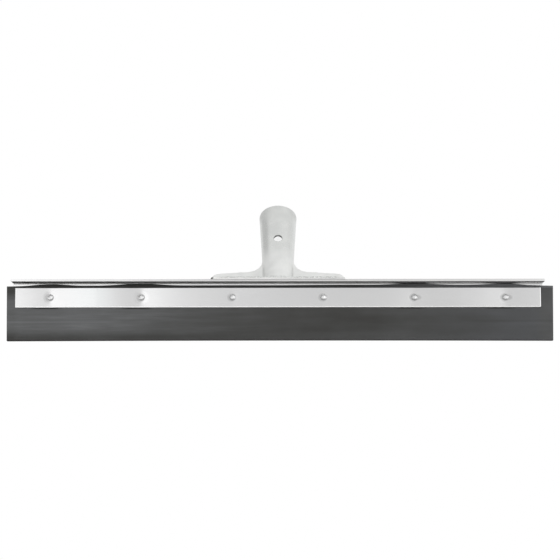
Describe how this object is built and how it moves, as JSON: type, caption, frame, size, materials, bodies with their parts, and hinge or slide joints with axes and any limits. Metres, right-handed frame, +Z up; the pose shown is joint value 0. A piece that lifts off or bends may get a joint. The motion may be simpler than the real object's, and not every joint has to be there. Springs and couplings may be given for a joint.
{
  "type": "floor squeegee head",
  "caption": "Straight floor squeegee head: a rubber blade riveted under a clamp strip to an L-shaped steel frame, with a leaning tapered socket for a handle.",
  "frame": {"origin": "on the wiping edge, at mid-length of the frame and in the middle of the blade's thickness", "axes": "+X along the blade, +Y towards the handle's side, +Z up from the wiping edge"},
  "size_m": [0.4572, 0.0742, 0.1206],
  "materials": {
    "rubber": "matte black rubber with a faint bloom",
    "galvanised_strip": "smooth galvanised sheet, satin",
    "galvanised_frame": "galvanised bent sheet, satin",
    "plated_rivets": "bright zinc plate",
    "cast_socket": "tumbled casting, satin grey"
  },
  "bodies": {
    "root": {"blade": "rubber", "clamp_strip": "galvanised_strip", "frame": "galvanised_frame", "blade_rivets": "plated_rivets", "handle_socket": "cast_socket", "socket_rivets": "plated_rivets"}
  },
  "joints": []
}
